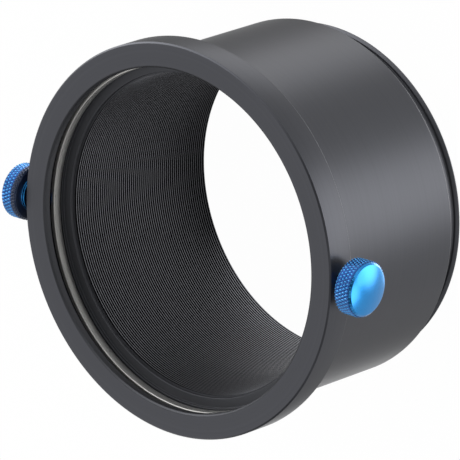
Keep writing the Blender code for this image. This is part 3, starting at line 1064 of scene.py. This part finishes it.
def make_disc():
    """White ground under the bore, for mirror rays alone, brighter towards one side."""
    material = bpy.data.materials.new("ground_under_bore")
    material.use_nodes = True
    tree = material.node_tree
    tree.nodes.remove(tree.nodes["Principled BSDF"])
    place = add(tree, "ShaderNodeTexCoord").outputs["Object"]
    along = add(tree, "ShaderNodeVectorMath", {
        0: place, 1: (math.cos(DISC_BRIGHT_SIDE), math.sin(DISC_BRIGHT_SIDE), 0.0),
    }, operation="DOT_PRODUCT")
    side = add(tree, "ShaderNodeMapRange", {
        "Value": along.outputs["Value"], "To Max": DISC_SIDE_LIGHT,
        "From Min": DISC_SIDE_SPAN[0], "From Max": DISC_SIDE_SPAN[1],
    })
    split = add(tree, "ShaderNodeSeparateXYZ", {0: place})
    base = add(tree, "ShaderNodeMapRange", {
        "Value": split.outputs[0], "From Min": DISC_BASE_SPAN[0], "From Max": DISC_BASE_SPAN[1],
        "To Min": DISC_BASE_LIGHT[0], "To Max": DISC_BASE_LIGHT[1],
    })
    light = add(tree, "ShaderNodeMath", {0: base.outputs[0], 1: side.outputs[0]}, operation="ADD")
    emission = add(tree, "ShaderNodeEmission", {"Strength": light.outputs[0]})
    tree.links.new(emission.outputs[0], tree.nodes["Material Output"].inputs["Surface"])
    turns = [math.tau * i / DISC_STEPS for i in range(DISC_STEPS)]
    corners = [(DISC_RADIUS * math.cos(t), DISC_RADIUS * math.sin(t), -DISC_DEPTH) for t in turns]
    disc = stage_mesh("ground_disc", corners, [tuple(range(DISC_STEPS))], material)
    disc.visible_camera = False
    disc.visible_diffuse = False
    disc.visible_transmission = False
    disc.visible_shadow = False


make_disc()
print("Disc:", round(DISC_RADIUS / MM, 1), "mm in radius, under the bore")

# %% [markdown]
# ## The studio in the world
#
# A dark satin metal shows little but its reflections, so a photographer draws its form with cards.
# The camera looks down, so the tube's upright walls mirror what lies below and round them, and the
# main cards of this studio stand there: bright ones for the long pale bands, grey ones for the
# darker edges. Three dark ones draw the lines of the edges that face the camera. Small bright ones
# are for small things: the ring, the socket's mouth, the crowns of the screws, and, from straight
# below, the edges that face down. Each card is a soft round patch of the world, given by its
# direction and half width, in degrees, and by its strength. It is full out to a third of its half
# width and fades from there. Only mirror rays see the cards: to the camera the world is plain
# white, and it lights the object evenly.

# %% World
WORLD_LIGHT = 0.85
LOW_LIGHT = 0.62
HIGH_LIGHT = 0.87
HORIZON = (-0.3, 0.1)
CARD_SOFTNESS = 3
CARDS = {
    "key": {"azimuth": 9, "elevation": -46, "half_width": 25, "strength": 3.0},
    "back": {"azimuth": 120, "elevation": -46, "half_width": 20, "strength": 1.75},
    "side": {"azimuth": -132, "elevation": -46, "half_width": 13, "strength": 1.1},
    "grey_back": {"azimuth": 168, "elevation": -46, "half_width": 19, "strength": 0.3},
    "grey_left": {"azimuth": -104, "elevation": -46, "half_width": 20, "strength": 0.4},
    "dark_behind_camera": {"azimuth": 26, "elevation": 46, "half_width": 36, "strength": 0.05},
    "dark_side": {"azimuth": -88, "elevation": 10, "half_width": 30, "strength": 0.03},
    "dark_corner": {"azimuth": -46, "elevation": 33, "half_width": 24, "strength": 0.03},
    "ring_light": {"azimuth": 121, "elevation": 20, "half_width": 26, "strength": 2.5},
    "mouth_light": {"azimuth": 152, "elevation": 6, "half_width": 26, "strength": 3.8},
    "cap_light": {"azimuth": -19, "elevation": -14, "half_width": 18, "strength": 2.5},
    "cap_top_light": {"azimuth": -4, "elevation": -30, "half_width": 10, "strength": 2.3},
    "edge_light": {"azimuth": 0, "elevation": -90, "half_width": 22, "strength": 3.2},
}


def direction_of(azimuth, elevation):
    """A direction round the tube, in degrees from +X and up from the floor."""
    around = math.radians(azimuth)
    up = math.radians(elevation)
    return Vector((math.cos(around) * math.cos(up), math.sin(around) * math.cos(up), math.sin(up)))


def make_world():
    world = bpy.data.worlds.new("studio")
    bpy.context.scene.world = world
    world.use_nodes = True
    tree = world.node_tree
    direction = add(tree, "ShaderNodeTexCoord").outputs["Generated"]
    split = add(tree, "ShaderNodeSeparateXYZ", {0: direction})
    light = add(tree, "ShaderNodeMapRange", {
        "Value": split.outputs[2], "From Min": HORIZON[0], "From Max": HORIZON[1],
        "To Min": LOW_LIGHT, "To Max": HIGH_LIGHT,
    }).outputs[0]
    for card in CARDS.values():
        half_width = math.radians(card["half_width"])
        near = add(tree, "ShaderNodeVectorMath", {
            0: direction, 1: direction_of(card["azimuth"], card["elevation"]),
        }, operation="DOT_PRODUCT")
        share = add(tree, "ShaderNodeMapRange", {
            "Value": near.outputs["Value"], "From Min": math.cos(half_width),
            "From Max": math.cos(half_width / CARD_SOFTNESS),
        }, interpolation_type="SMOOTHSTEP")
        light = add(tree, "ShaderNodeMix", {
            0: share.outputs[0], 2: light, 3: card["strength"],
        }).outputs[0]
    path = add(tree, "ShaderNodeLightPath")
    mirrored = add(tree, "ShaderNodeMix", {
        0: path.outputs["Is Glossy Ray"], 2: WORLD_LIGHT, 3: light,
    })
    strength = add(tree, "ShaderNodeMix", {
        0: seen_directly(tree), 2: mirrored.outputs[0], 3: 1.0,
    })
    background = tree.nodes["Background"]
    background.inputs["Color"].default_value = (1.0, 1.0, 1.0, 1.0)
    tree.links.new(strength.outputs[0], background.inputs["Strength"])


make_world()
print("World: lights at", WORLD_LIGHT, "with cards", ", ".join(CARDS))

# %% [markdown]
# ## Softboxes
#
# Two soft lamps stand over the floor, beside the tube and behind it. The cards draw the
# reflections, so the lamps are hidden from mirror rays: they give soft light and the shadow on the
# floor.

# %% Softboxes
object_middle = Vector((0.0, 0.0, FRONT / 2))


def softbox(name, azimuth, elevation, distance, width, height, power):
    """An area lamp at a direction round the tube, turned towards the tube's middle."""
    direction = direction_of(azimuth, elevation)
    lamp = bpy.data.lights.new(name, "AREA")
    lamp.shape = "RECTANGLE"
    lamp.size = width
    lamp.size_y = height
    lamp.energy = power
    obj = bpy.data.objects.new(name, lamp)
    obj.location = object_middle + direction * distance
    obj.rotation_mode = "QUATERNION"
    obj.rotation_quaternion = direction.to_track_quat("Z", "Y")
    obj.visible_camera = False
    obj.visible_glossy = False
    bpy.context.scene.collection.objects.link(obj)


softbox("key", azimuth=15, elevation=18, distance=0.9, width=0.5, height=0.35, power=2.0)
softbox("back", azimuth=125, elevation=25, distance=1.0, width=0.5, height=0.5, power=2.5)
bpy.context.scene.view_settings.view_transform = "Standard"
print("Lamps:", sorted(lamp.name for lamp in bpy.data.lights))
